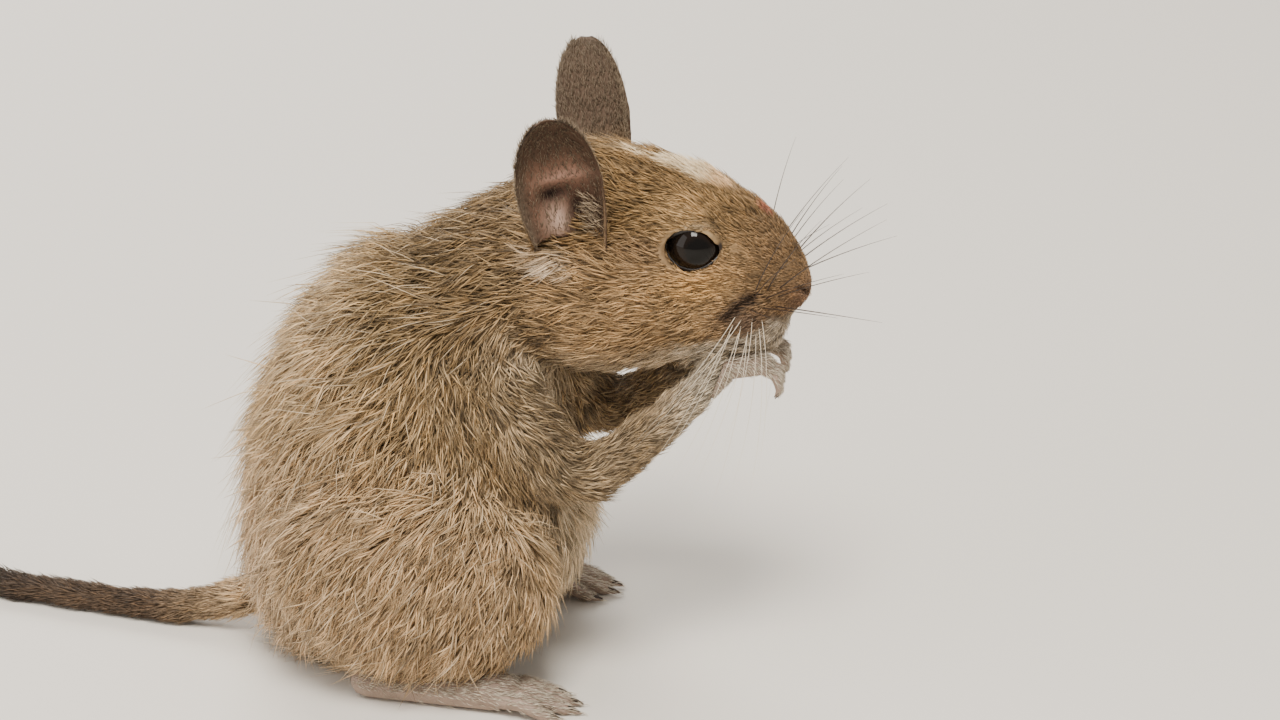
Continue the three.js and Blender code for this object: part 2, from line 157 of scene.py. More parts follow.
def shares(points):
    """How far each point belongs to each flesh node, as rows that add to 1."""
    far = np.array([[trees[n].find_nearest(p)[3] for n in FLESH] for p in points])
    near = 1 / (far / MM + 1.2) ** 4
    return near / near.sum(1, keepdims=True)


def back_of(points):
    return (NOSE - points[:, 0]) / MM


def dorsal(normals):
    """1 where the surface faces the sky or the tail, 0 where it faces the floor or the chest."""
    return blend_step(-0.55, 0.6, normals[:, 2] * 0.6 - normals[:, 0] * 0.75)


def coat_depth(points, normals, part):
    """Depth of the fur in millimetres."""
    back = back_of(points)
    head = np.interp(back, [0, 4, 9, 16, 26, 38, 50], [0.2, 0.3, 0.5, 0.7, 1, 1.6, 2.4])
    wrist = np.interp(back, [12, 24, 38, 50], [0.35, 0.8, 1.4, 2.2])
    tail = np.interp(back, [95, 110, 156], [1.8, 0.9, 0.6])
    torso = 2.6 + 1.2 * dorsal(normals)
    each = {"head": head, "neck": 2.8, "torso": torso, "haunch_left": 2.5, "haunch_right": 2.5,
            "foreleg_left": wrist, "foreleg_right": wrist, "tail_root": tail, "tail_middle": tail}
    return sum(part[:, i] * each[n] for i, n in enumerate(FLESH))


skin = fused("skin", FLESH, SKIN_VOXEL, SKIN_SWELL)
surface = places(skin.data)
smoothed = relaxed(skin.data, surface, 6)
face_only = blend_step(26, 12, back_of(surface))[:, None]
set_places(skin.data, surface * face_only + smoothed * (1 - face_only))
surface, facing = places(skin.data), normals_of(skin.data)
share = shares(surface)
depth = relaxed(skin.data, coat_depth(surface, facing, share)[:, None], 12)
inward = relaxed(skin.data, facing, 3)
surface = surface - inward * depth * MM
surface[:, 2] = np.maximum(surface[:, 2], SKIN_CLEAR)
set_places(skin.data, surface)
surface = relaxed(skin.data, surface, 2, 0.4) * (1 - face_only) + surface * face_only
set_places(skin.data, surface)


def refined(piece, chosen):
    """The piece with each face whose middle is chosen cut into four."""
    mesh = bmesh.new()
    mesh.from_mesh(piece.data)
    edges = {e for f in mesh.faces if chosen(f.calc_center_median()) for e in f.edges}
    bmesh.ops.subdivide_edges(mesh, edges=list(edges), cuts=1, use_grid_fill=True)
    mesh.to_mesh(piece.data)
    mesh.free()


MUZZLE_END, FACE_END = at(15, 0, 0).x, at(40, 0, 0).x
CHIN_HEIGHT, LID_REACH = 50 * MM, 7.5 * MM
EYE_CENTRES = {side: sum(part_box("eye_" + side), Vector()) / 2 for side in OUTWARD}
refined(skin, lambda c: c.x > FACE_END and c.z > CHIN_HEIGHT)
refined(skin, lambda c: (c.x > MUZZLE_END and c.z > CHIN_HEIGHT)
        or any((c - e).length < LID_REACH for e in EYE_CENTRES.values()))
surface = places(skin.data)
face_only = blend_step(44, 38, back_of(surface))[:, None]
set_places(skin.data, relaxed(skin.data, surface, 2) * face_only + surface * (1 - face_only))

# Face
# The folds of the living head, pressed into the skin: the line of the mouth with its lips,
# the cleft of the upper lip, the nostrils and the whisker pads.
MOUTH_LINE = [(3.2, 0.1, 63.1), (4.4, 2.7, 62.7), (7, 5.6, 61.8), (10.2, 7.6, 60.9), (12, 8.2, 61.4)]
CLEFT_LINE = [(0.6, 0, 68.4), (2.2, 0, 66), (3.5, 0, 63.2)]
NOSTRIL_LINE = [(0.8, 1.2, 69.6), (1.3, 2, 70.1), (2.2, 2.6, 70.7)]
PAD_FOLD = [(12.6, 8.9, 67.6), (10.4, 8.3, 69.4), (8.2, 7.5, 70.6)]
PAD_CREST = [(7.4, 6.4, 66.4), (10.6, 8, 65.6)]
EYE_CORNER = [(14.6, 10.4, 79.5), (13, 9.9, 79.9)]
FOLDS_END = 17
# Each fold: its line, how far it swells out or sinks in, how far off the line it is, and its width
FOLDS = [(MOUTH_LINE, -0.62, 0, 0.34), (MOUTH_LINE, 0.2, 0.85, 0.45), (CLEFT_LINE, -0.45, 0, 0.3),
         (NOSTRIL_LINE, -0.8, 0, 0.38), (NOSTRIL_LINE, 0.16, 0.8, 0.35), (PAD_FOLD, -0.5, 0, 0.6),
         (PAD_CREST, 0.35, 0, 1.7)]


def stretched(line, count):
    """Points spread evenly along a line through a few places."""
    line = np.array([at(*p) for p in line])
    long = np.r_[0, np.cumsum(np.linalg.norm(np.diff(line, axis=0), axis=1))]
    spots = np.linspace(0, long[-1], count)
    return np.column_stack([np.interp(spots, long, line[:, k]) for k in range(3)])


hide_tree = BVHTree.FromObject(skin, bpy.context.evaluated_depsgraph_get())


def away(points, line, count=40):
    """Millimetres from each point to a line drawn on the hide, alike on both sides of the head."""
    folded = points * [1, 0, 1] + np.abs(points) * [0, 1, 0]
    path = [np.array(hide_tree.find_nearest(Vector(p))[0]) for p in stretched(line, count)]
    return np.min([np.linalg.norm(folded - spot, axis=1) for spot in path], axis=0) / MM


surface, facing = places(skin.data), normals_of(skin.data)
muzzle = np.flatnonzero((back_of(surface) < FOLDS_END) & (surface[:, 2] > CHIN_HEIGHT))
push = sum(swell * np.exp(-((away(surface[muzzle], line) - off) / wide) ** 2)
           for line, swell, off, wide in FOLDS)
surface[muzzle] += facing[muzzle] * push[:, None] * MM
set_places(skin.data, surface)

# Markings
# The coat's colours, the same on skin and fur: brindled olive brown over a paler flank and
# belly, a white blaze up the forehead, pale rings round the eyes and a cream spot by the ear,
# with painted shade in the creases of the mouth, nostrils, lip cleft and whisker pads.


def linear(red, green, blue):
    """A colour as seen on a screen, 0 to 255, as the shaders count it."""
    value = np.array([red, green, blue]) / 255
    return np.where(value < 0.04045, value / 12.92, ((value + 0.055) / 1.055) ** 2.4)


FUR = {
    "back": linear(226, 196, 154), "rump": linear(234, 204, 168), "flank": linear(188, 158, 116),
    "belly": linear(222, 200, 168), "shoulder": linear(128, 104, 68), "neck": linear(150, 124, 90),
    "haunch": linear(200, 170, 132), "cheek": linear(170, 138, 98), "forehead": linear(146, 117, 78),
    # The darkest brown here is painted shade for the creases of the face
    "bridge": linear(136, 108, 76), "pad": linear(108, 86, 70), "crease_shade": linear(56, 40, 30),
    "chin": linear(196, 180, 158), "ring": linear(208, 172, 122), "under_eye": linear(220, 172, 108),
    "temple": linear(120, 96, 74), "blaze": linear(255, 232, 192), "tan": linear(224, 188, 144),
    "nose": linear(146, 110, 84), "brush": linear(52, 42, 35),
    "foreleg": linear(160, 138, 108), "wrist": linear(196, 182, 160), "tail": linear(92, 74, 58),
    "spot": linear(244, 222, 194), "pink": linear(205, 112, 94),
}
BLAZE_LINE = [(12.5, 0, 87), (17, 0, 89.5), (22, -0.3, 91.2), (27, -0.6, 92.5), (33, -0.2, 93.6)]
RNG = np.random.default_rng(7)


def ripple(points, wavelength, seed):
    """A smooth random field between about -1 and 1 with that wavelength in millimetres."""
    draw = np.random.default_rng(seed)
    total = np.zeros(len(points))
    for _ in range(5):
        wave = draw.normal(size=3)
        wave *= 2 * math.pi / (wavelength * MM * np.linalg.norm(wave)) * draw.uniform(0.7, 1.3)
        total += np.sin(points @ wave + draw.uniform(0, 6.28))
    return total / 2.6


def spot(points, place, spread):
    """1 at a place of the head, fading over the spread, alike on both sides."""
    folded = points * [1, 0, 1] + np.abs(points) * [0, 1, 0]
    far = np.linalg.norm((folded - np.array(at(*place))) / (np.array(spread) * MM), axis=1)
    return np.exp(-far ** 2)


def tinted(colour, other, share_of):
    return colour + (other - colour) * np.asarray(share_of)[:, None]


# Marks of the head: the colour, its strength, its place and how far it fades
MUZZLE_MARKS = [("nose", 0.8, (1.6, 1.5, 69), (3.4, 3.4, 2.6)), ("pad", 0.95, (10, 8, 66.4), (4.2, 4, 3.2))]
CHEEK_MARKS = [("temple", 0.55, (27, 13.4, 79), (5, 5, 2.6)), ("ring", 0.8, (19, 10, 85.4), (4.6, 5, 2.2)),
               ("under_eye", 0.75, (17, 11.8, 73), (5, 5, 2.6)),
               ("spot", 1.3, (40, 15, 76.8), (3.2, 4, 1.9))]
# Painted shade along the creases of the face, and at the eye's inner corner its dark skin with painted
# shade: how far each reaches to its sides and how dark it is
CREASE_SHADE_LINES = [(PAD_FOLD, 1.7, 0.9), (EYE_CORNER, 1.2, 1), (MOUTH_LINE, 0.7, 0.8),
              (NOSTRIL_LINE, 0.8, 0.9), (CLEFT_LINE, 0.5, 0.6)]
PINK_PLACE = (7.2, -0.2, 83.4)


def marked(colour, points, marks):
    for name, strength, place, spread in marks:
        colour = tinted(colour, FUR[name], (strength * spot(points, place, spread)).clip(0, 1))
    return colour


def head_colour(points, normals):
    back, height = back_of(points), points[:, 2] / MM
    colour = tinted(FUR["forehead"], FUR["cheek"], blend_step(86, 74, height))
    colour = tinted(colour, FUR["bridge"], blend_step(14, 5, back))
    colour = tinted(colour, FUR["neck"], blend_step(36, 48, back))
    colour = marked(colour, points, MUZZLE_MARKS)
    chin_top = np.interp(back, [2, 7, 12, 28], [66.4, 65.4, 62.8, 61.2]) + 0.5 * ripple(points, 3, 12)
    colour = tinted(colour, FUR["chin"], blend_step(1, -0.6, height - chin_top) * blend_step(30, 16, back))
    throat = blend_step(-0.35, -0.95, normals[:, 2]) * blend_step(8, 26, back)
    colour = marked(tinted(colour, FUR["belly"], 0.6 * throat), points, CHEEK_MARKS)
    far = np.linalg.norm(points[:, None] - stretched(BLAZE_LINE, 24)[None], axis=2).min(1) / MM
    far = far + 0.35 * ripple(points, 2.2, 8)
    wide = np.interp(back, [10, 14, 17, 21, 25, 30, 36], [1.2, 2.4, 3.1, 2.9, 1.2, 0.5, 0.3])
    inside = blend_step(wide + 0.9, wide - 0.6, far) * blend_step(38, 34, back)
    colour = tinted(colour, FUR["tan"], 0.8 * inside * blend_step(9.5, 13, back))
    colour = tinted(colour, FUR["blaze"], inside * blend_step(15.2, 17.6, back))
    # Painted shade in the creases of the mouth, nostrils, lip cleft and whisker pad, and at the eye's inner
    # corner over its dark skin
    close = back < FOLDS_END
    dark = np.zeros(len(points))
    for line, reach, strength in CREASE_SHADE_LINES:
        shadow = strength * blend_step(reach, 0.25 * reach, away(points[close], line))
        dark[close] = np.maximum(dark[close], shadow)
    colour = tinted(colour, FUR["crease_shade"], dark)
    far = np.linalg.norm(points - np.array(at(*PINK_PLACE)), axis=1) / MM
    return tinted(colour, FUR["pink"], 0.5 * blend_step(1.9, 0.8, far))


def chest(points, normals):
    """1 on the chest and belly between the legs and on the seat, 0 on the flanks and back."""
    ahead = blend_step(0.1, 0.6, normals[:, 0] * 0.9 - normals[:, 2] * 0.2)
    return np.maximum(ahead * blend_step(0.023, 0.008, np.abs(points[:, 1])),
                      blend_step(-0.8, -0.95, normals[:, 2]))


def coat_colour(points, normals, part):
    """The colour of the fur at each place."""
    back, height = back_of(points), points[:, 2] / MM
    under = chest(points, normals)
    patches = 0.5 + 0.5 * ripple(points, 16, 9).clip(-1, 1)
    behind = -normals[:, 0]
    torso = tinted(FUR["flank"], FUR["back"], 0.9 * blend_step(0, 0.6, behind) * (0.5 + 0.5 * patches))
    torso = tinted(torso, FUR["rump"], blend_step(52, 24, height) * blend_step(-0.1, 0.5, behind))
    nape = blend_step(56, 70, height + 4 * patches) * blend_step(78, 62, back)
    torso = tinted(torso, FUR["shoulder"], 0.85 * nape)
    torso = tinted(torso, FUR["belly"], under)
    neck = tinted(tinted(FUR["neck"], FUR["shoulder"], 0.6 * patches), FUR["belly"], under)
    tail = tinted(FUR["tail"], FUR["haunch"], blend_step(116, 94, back))
    tail = tinted(tail, FUR["brush"], blend_step(128, 152, back))
    leg = tinted(FUR["foreleg"], FUR["wrist"], blend_step(28, 15, back))
    each = {"head": head_colour(points, normals), "neck": neck, "torso": torso,
            "haunch_left": FUR["haunch"], "haunch_right": FUR["haunch"], "foreleg_left": leg,
            "foreleg_right": leg, "tail_root": tail, "tail_middle": tail}
    return sum(part[:, i:i + 1] * each[n] for i, n in enumerate(FLESH))


def paint(mesh, colours):
    """Keeps a colour for each vertex in the attribute that the materials read."""
    layer = mesh.color_attributes.new("coat", "FLOAT_COLOR", "POINT")
    layer.data.foreach_set("color", np.column_stack([colours, np.ones(len(colours))]).astype("f").ravel())


surface, facing = places(skin.data), normals_of(skin.data)
share = shares(surface)
HIDE_SHADE = 0.62
hide = coat_colour(surface, facing, share) * HIDE_SHADE
grain = 1 + 0.16 * ripple(surface, 1.1, 3) + 0.1 * ripple(surface, 4, 4)
hide *= grain[:, None]
# Painted shade: the hide is darkened in the mouth's crease and in the nostril pits
dark = np.zeros(len(surface))
near = back_of(surface) < FOLDS_END
dark[near] = np.maximum(np.exp(-(away(surface[near], MOUTH_LINE) / 0.55) ** 2) * 0.8,
                        np.exp(-(away(surface[near], NOSTRIL_LINE) / 0.5) ** 2))
hide = tinted(hide, linear(40, 28, 24), dark)
paint(skin.data, hide)


class Paint:
    """A socket of a material's tree that can be used in sums and products."""

    def __init__(self, tree, socket):
        self.tree, self.socket = tree, socket

    def node(self, kind, settings=None, output=0, **values):
        made = self.tree.nodes.new(kind)
        for key, value in (settings or {}).items():
            setattr(made, key, value)
        for key, value in values.items():
            place = made.inputs[int(key[1:]) if key[1:].isdigit() else key.replace("_", " ")]
            if isinstance(value, Paint):
                self.tree.links.new(value.socket, place)
            else:
                place.default_value = value
        return Paint(self.tree, made.outputs[output])

    def __add__(self, other):
        return self.node("ShaderNodeMath", {"operation": "ADD"}, i0=self, i1=other)

    def __mul__(self, other):
        return self.node("ShaderNodeMath", {"operation": "MULTIPLY"}, i0=self, i1=other)

    __radd__, __rmul__ = __add__, __mul__


def feed(shader, name, value):
    value.tree.links.new(value.socket, shader.inputs[name])


def material(name, painted=False, **constants):
    """A new material, its surface node and a Paint to start from. A painted one shows the mesh's colours."""
    made = bpy.data.materials.new(name)
    made.use_nodes = True
    shader, start = made.node_tree.nodes["Principled BSDF"], Paint(made.node_tree, None)
    for key, value in constants.items():
        shader.inputs[key.replace("_", " ")].default_value = value
    if painted:
        feed(shader, "Base Color", start.node("ShaderNodeAttribute", {"attribute_name": "coat"}))
    return made, shader, start


def texture(start, kind, settings=None, **values):
    """A texture that keeps its place on the body."""
    return start.node(kind, settings, Vector=start.node("ShaderNodeTexCoord", output=3), **values)


def bumped(shader, height, strength, distance):
    bump = height.node("ShaderNodeBump", Height=height, Strength=strength, Distance=distance)
    feed(shader, "Normal", bump)


hide_finish, shader, start = material("hide", True, Roughness=0.85)
bumped(shader, texture(start, "ShaderNodeTexNoise", Scale=1500.0, Detail=3.0), 0.5, 0.0003)
skin.data.materials.append(hide_finish)
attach(skin, "root")
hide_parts(*FLESH)

# Coat
# The fur: thin tapered tufts, each a closed sliver with a ridge, bent over and lying along the
# body. They grow from the skin, longest on the back and finest on the face.
PIECE_TUFTS, BARE_BELOW = 19000, 0.4 * MM
HEAD_AXIS = (at(0, 0, 72), at(52, 0, 74))
TRUNK_AXIS = (at(66, 0, 92), at(66, 0, 0))


def lie_of(points, part):
    """The way the hair lies at each place, before it is laid flat on the skin."""
    back = back_of(points)[:, None]
    ahead = points - np.array(at(-9, 0, 69))
    head = ahead / np.linalg.norm(ahead, axis=1, keepdims=True)
    height = points[:, 2:3] / MM
    torso = np.array([-1.0, 0, 0]) * np.interp(height, [10, 45, 80], [0.5, 0.5, 1.0])
    torso = torso + np.array([0, 0, -1.0]) * np.interp(height, [10, 45, 80], [0.75, 0.9, 0.5])
    forearm = blend_step(42, 34, back)
    arm = np.array([0.75, 0, -0.75]) * (1 - forearm) + np.array([0.85, 0, 0.5]) * forearm
    side = np.array([0, 0.25, 0])
    each = {"head": head, "neck": np.array([-0.9, 0, -0.45]), "torso": torso,
            "haunch_left": np.array([-0.5, 0, -0.85]), "haunch_right": np.array([-0.5, 0, -0.85]),
            "foreleg_left": arm - side, "foreleg_right": arm + side,
            "tail_root": np.array([-0.95, 0.05, -0.2]), "tail_middle": np.array([-0.95, 0.3, 0])}
    return sum(part[:, i:i + 1] * each[n] for i, n in enumerate(FLESH))


def roots_on(mesh, density, seed):
    """Random places on a mesh, so many to the square millimetre at each vertex."""
    draw = np.random.default_rng(seed)
    mesh.calc_loop_triangles()
    corners = np.empty(len(mesh.loop_triangles) * 3, int)
    mesh.loop_triangles.foreach_get("vertices", corners)
    corners = corners.reshape(-1, 3)
    points, normals = places(mesh), normals_of(mesh)
    a, b, c = (points[corners[:, k]] for k in range(3))
    area = np.linalg.norm(np.cross(b - a, c - a), axis=1) / 2 / MM ** 2
    wanted = area * density[corners].mean(1)
    count = np.floor(wanted + draw.random(len(wanted))).astype(int)
    chosen = np.repeat(np.arange(len(corners)), count)
    u, v = draw.random((2, len(chosen)))
    over = u + v > 1
    u[over], v[over] = 1 - u[over], 1 - v[over]
    weights = np.column_stack([1 - u - v, u, v])
    place = (points[corners[chosen]] * weights[:, :, None]).sum(1)
    normal = (normals[corners[chosen]] * weights[:, :, None]).sum(1)
    return place, normal / np.linalg.norm(normal, axis=1, keepdims=True), corners[chosen], weights


def unit(vectors):
    return vectors / np.maximum(np.linalg.norm(vectors, axis=1, keepdims=True), 1e-9)


def unrolled(points, axis):
    """The place of each point when the body part is unrolled from round its axis."""
    start_at, end_at = (np.array(p) for p in axis)
    along = end_at - start_at
    length = np.linalg.norm(along)
    along = along / length
    first = unit(np.cross(along, [[0.0, 1.0, 0.0]]))[0]
    second = np.cross(along, first)
    rest = points - start_at
    turn = np.arctan2(rest @ second, rest @ first) / (2 * math.pi) + 0.5
    return np.column_stack([turn, np.clip((rest @ along) / length, 0, 1)]) * 0.98 + 0.01


PATCH = 0.003
CORNER_FACES = np.array([(0, 2, 1), (0, 1, 4), (0, 4, 3), (1, 2, 5), (1, 5, 4), (2, 0, 3), (2, 3, 5),
                         (3, 4, 6), (4, 5, 6), (5, 3, 6)])
CORNER_PATCH = np.array([(-0.5, -0.5), (0.5, -0.5), (0, -0.4), (-0.5, 0), (0.5, 0), (0, 0.1), (0, 0.5)])
CORNER_SHADE = np.array([0, 0, 0, 1, 1, 1, 2])
CORNERS = len(CORNER_SHADE)
# How deep in millimetres the roots go at most, in the hide and in thin bare skin
DEEP, SHALLOW = 0.35, 0.05


def tuft_piece(name, place, normal, lie, length, width, lift, colour, shade, axis, finish, deepest=DEEP):
    """A piece of fur. Lengths are in millimetres, lift in radians, and shade has the tone at
    the root, the middle and the tip, for all tufts or for each."""
    lie = unit(lie - normal * (lie * normal).sum(1, keepdims=True))
    across = np.cross(normal, lie)
    long = (length * MM)[:, None]
    rise, run = np.sin(lift)[:, None], np.cos(lift)[:, None]
    foot = place - normal * np.minimum(0.07 * long, deepest * MM)
    knee = foot + long * 0.45 * (lie * run + normal * rise * 1.25)
    tip = foot + long * (lie * (run * 0.55 + 0.45) + normal * rise * 0.8)
    wide = np.reshape(width, (-1, 1)) * MM / 2
    points = np.empty((len(place), CORNERS, 3))
    for row, (centre, size) in enumerate([(foot, 0.75), (knee, 1.0)]):
        points[:, row * 3] = centre + across * wide * size
        points[:, row * 3 + 1] = centre - across * wide * size
        points[:, row * 3 + 2] = centre + normal * wide * size * 0.9
    points[:, -1] = tip
    points[:, :, 2] = np.maximum(points[:, :, 2], TUFT_CLEAR)
    mesh = bpy.data.meshes.new(name)
    mesh.vertices.add(len(place) * CORNERS)
    mesh.vertices.foreach_set("co", points.ravel())
    faces = (CORNER_FACES[None] + CORNERS * np.arange(len(place))[:, None, None]).reshape(-1)
    mesh.loops.add(len(faces))
    mesh.loops.foreach_set("vertex_index", faces)
    mesh.polygons.add(len(faces) // 3)
    mesh.polygons.foreach_set("loop_start", np.arange(0, len(faces), 3))
    mesh.update(calc_edges=True)
    tones = colour[:, None] * np.atleast_2d(shade)[:, CORNER_SHADE, None]
    paint(mesh, tones.reshape(-1, 3))
    patch = unrolled(place, axis)[:, None] + CORNER_PATCH[None] * PATCH
    flat = patch.reshape(-1, 2)[faces]
    mesh.uv_layers.new(name="OFBake").data.foreach_set("uv", flat.ravel())
    piece = new_piece(name, mesh)
    mesh.materials.append(finish)
    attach(piece, "root")
    return piece


fur_finish, shader, start = material("fur", True, Roughness=0.62, Specular_IOR_Level=0.35)


def tuft_sizes(points, normals, part):
    """Length, width and lift of the tufts at each place."""
    back = back_of(points)
    head = np.interp(back, [0, 5, 12, 24, 38, 50], [0.85, 1.35, 2.1, 3.3, 4.6, 5.6])
    head = head + 2.2 * spot(points, (38.4, 14, 80), (7, 5, 5)) + 1.6 * spot(points, (36, 9, 90), (6, 4, 4))
    leg = np.interp(back, [11, 24, 38, 52], [1.4, 2.8, 3.8, 5])
    tail = np.interp(back, [94, 106, 138, 156], [4, 2.2, 2.4, 6])
    each = {"head": head, "neck": 6.2, "torso": 6.8 + 2 * dorsal(normals), "haunch_left": 6,
            "haunch_right": 6, "foreleg_left": leg, "foreleg_right": leg, "tail_root": tail,
            "tail_middle": tail}
    length = sum(part[:, i] * each[n] for i, n in enumerate(FLESH))
    width = np.interp(length, [0.7, 2, 4, 8], [0.12, 0.15, 0.21, 0.3])
    lift = np.interp(length, [0.7, 3, 6, 8.5], [0.4, 0.33, 0.37, 0.45])
    return length, width, lift


length, width, lift = tuft_sizes(surface, facing, share)
density = np.interp(length, [0.8, 1.3, 2, 3.5, 5.5, 8], [17, 13, 10, 7.3, 5, 3.8])
density = density * (surface[:, 2] > BARE_BELOW)
place, normal, corner, weight = roots_on(skin.data, density, 11)


def carried(values):
    """Values of the skin's vertices at the roots."""
    return (values[corner] * (weight if values.ndim == 1 else weight[..., None])).sum(1)


part = carried(share)
length, width, lift = carried(length), carried(width), carried(lift)
# The eyes' openings and the folds of the mouth and nose stay bare
back = back_of(place)
keep = np.ones(len(place), bool)
front = back < 14
keep[front] &= (away(place[front], MOUTH_LINE) > 0.3) & (away(place[front], NOSTRIL_LINE) > 0.45)
EYE_OPENING = (4.75, 3.4)
BARE_RIM = 0.3
for centre in EYE_CENTRES.values():
    aside = (place - np.array(centre)) / MM
    reach = np.hypot(aside[:, 0] / (EYE_OPENING[0] + BARE_RIM), aside[:, 2] / (EYE_OPENING[1] + BARE_RIM))
    beside = (aside[:, 1] * centre.y > -1 * MM) & (np.linalg.norm(aside, axis=1) < 10)
    keep &= ~((reach < 1) & beside)
    length = np.where(beside, length * (0.55 + 0.45 * blend_step(1, 1.45, reach)), length)
kept = [values[keep] for values in (place, normal, part, length, width, lift, back)]
place, normal, part, length, width, lift, back = kept
count = len(place)
lie = lie_of(place, part)
ruffle = np.interp(length, [1, 3, 8], [0.14, 0.28, 0.5])
sideways = np.cross(normal, unit(lie))
bend = 0.8 * ripple(place, 6, 21) + 0.7 * ripple(place, 2.4, 22) + 0.7 * RNG.normal(size=count)
lie = unit(lie) + sideways * (ruffle * bend)[:, None]
lift = lift * (1 + 0.4 * ripple(place, 5, 23) + 0.35 * RNG.normal(size=count)).clip(0.25, 2.1)
length = length * (1 + 0.14 * ripple(place, 7, 24) + 0.16 * RNG.normal(size=count)).clip(0.5, 1.45)
width = width * RNG.uniform(0.65, 1.3, count)

# Each hair is dark at its root and pale near its tip, and here and there one is dark all through
plain = coat_colour(place, normal, part)
mottle = 1 + 0.14 * ripple(place, 9, 25) + 0.2 * ripple(place, 2.6, 26) + 0.16 * RNG.normal(size=count)
kind = RNG.random(count)
mottle = mottle * np.where(kind < 0.2, 0.42, np.where(kind > 0.84, 1.4, 1))
white = blend_step(0.5, 0.72, plain[:, 1])
colour = plain * (mottle * (1 - white) + (0.92 + 0.08 * mottle) * white).clip(0.25, 1.8)[:, None]
warm, PALEST = np.array([1.0, 0.95, 0.86]), 0.8
colour = np.maximum(colour * np.where(kind[:, None] > 0.84, warm, 1), 0.003)
colour = colour / np.maximum(colour.max(1, keepdims=True) / PALEST, 1)
deep = np.interp(length, [1, 3, 8], [0.52, 0.44, 0.34])
tip = np.where(RNG.random(count) < 0.3, 0.5, 1.18)
deep, tip = deep * (1 - white) + 0.9 * white, tip * (1 - white) + white
shade = np.column_stack([deep, np.ones(count), tip])
# The pieces: each takes the tufts still free that lie mostly on its columns of FLESH and ahead of
# its end, and is unrolled round its axis
ALL = 999
COAT_PIECES = [
    ("coat_face", [0], 0.5, 30, HEAD_AXIS), ("coat_head", [0], 0.5, ALL, HEAD_AXIS),
    ("coat_neck", [1], 0.5, ALL, (at(40, 0, 78), at(62, 0, 62))),
    ("coat_haunch_left", [3], 0.45, ALL, (at(64, 21, 44), at(64, 21, 2))),
    ("coat_haunch_right", [4], 0.45, ALL, (at(64, -21, 44), at(64, -21, 2))),
    ("coat_foreleg_left", [5], 0.45, ALL, (at(55, 14, 50), at(10, 6, 50))),
    ("coat_foreleg_right", [6], 0.45, ALL, (at(55, -14, 50), at(10, -6, 50))),
    ("coat_tail", [7, 8], 0.45, ALL, (at(88, 0, 3), at(160, 10, 3))),
    ("coat_trunk", [2], 0, ALL, TRUNK_AXIS),
]
free = np.ones(count, bool)
for name, columns, least, end, axis in COAT_PIECES:
    chosen = free & (part[:, columns].sum(1) >= least) & (back < end)
    free &= ~chosen
    which = np.flatnonzero(chosen)
    which = which[np.argsort(unrolled(place[which], axis)[:, 1], kind="stable")]
    for number, r in enumerate(np.array_split(which, math.ceil(len(which) / PIECE_TUFTS))):
        tuft_piece(f"{name}_{number + 1}", place[r], normal[r], lie[r], length[r], width[r], lift[r],
                   colour[r], shade[r], axis, fur_finish)

# Guard hairs: long thin hairs that stand a little proud of the back, neck and haunches
GUARD_WIDTH = 0.17
keen = length * (normal[:, 2] * 0.5 - normal[:, 0] > -0.5) * (part[:, [1, 2, 3, 4]].sum(1) > 0.7)
guard = np.flatnonzero(RNG.random(count) < np.interp(keen, [4.5, 8], [0, 0.09]))
size = RNG.uniform(1.15, 1.6, len(guard)) * length[guard]
tone = tinted(colour[guard] * 0.8, FUR["belly"], 0.5 * (RNG.random(len(guard)) < 0.6))
tuft_piece("coat_guard_1", place[guard], normal[guard], lie[guard] + 0.25 * RNG.normal(size=(len(guard), 3)),
           size, GUARD_WIDTH, RNG.uniform(0.35, 0.75, len(guard)), tone, [0.5, 1, 1.1], TRUNK_AXIS,
           fur_finish)

# Eyes
# Large, dark and wet: a smooth ball with a brown iris hardly lighter than its pupil, held by
# thin dark lids that part in an almond with a pointed inner corner.
EYE_RADIUS = (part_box("eye_left")[1].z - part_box("eye_left")[0].z) / 2
BALL_SEGMENTS, BALL_ROWS, LID_POINTS = 64, 40, 72
# How far each row of the lid lies out from the opening, and how proud of the ball, in millimetres
LID_ROWS = [(-0.3, 0.04), (-0.04, 0.2), (0.22, 0.42), (0.6, 0.52), (1.1, 0.42), (1.5, 0.05),
            (1.2, -0.4), (0.2, -0.3)]

eye_finish = material("eye", True, Roughness=0.05, Specular_IOR_Level=0.2)[0]
lid_finish, shader, start = material("lid", True, Roughness=0.42)
bumped(shader, texture(start, "ShaderNodeTexNoise", Scale=2500.0), 0.3, 0.0002)


def almond(count):
    """The outline of the eye's opening as seen from its side, forwards and up."""
    angle = np.linspace(0, 2 * math.pi, count, endpoint=False)
    forwards, up = np.cos(angle), np.sin(angle)
    length, height = EYE_OPENING
    shape = np.abs(up) ** 1.3 * np.sign(up) * height * np.where(up > 0, 1.02, 0.98)
    corner = 1 + 0.08 * np.clip(forwards, 0, 1) ** 8
    return np.column_stack([forwards * length * corner, shape + 0.25 * forwards])


def ring_mesh(name, rings, caps=(), closed=False):
    """A mesh through rings of points, with faces for its ends or closed back to the first ring."""
    rings = np.array(rings)
    rows, count = rings.shape[:2]
    faces = [(i * count + j, i * count + (j + 1) % count, (i + 1) % rows * count + (j + 1) % count,
              (i + 1) % rows * count + j) for i in range(rows - (not closed)) for j in range(count)]
    mesh = bpy.data.meshes.new(name)
    mesh.from_pydata(rings.reshape(-1, 3), [], faces + list(caps))
    form = bmesh.new()
    form.from_mesh(mesh)
    bmesh.ops.recalc_face_normals(form, faces=form.faces)
    if form.calc_volume(signed=True) < 0:
        bmesh.ops.reverse_faces(form, faces=form.faces)
    form.to_mesh(mesh)
    form.free()
    return mesh


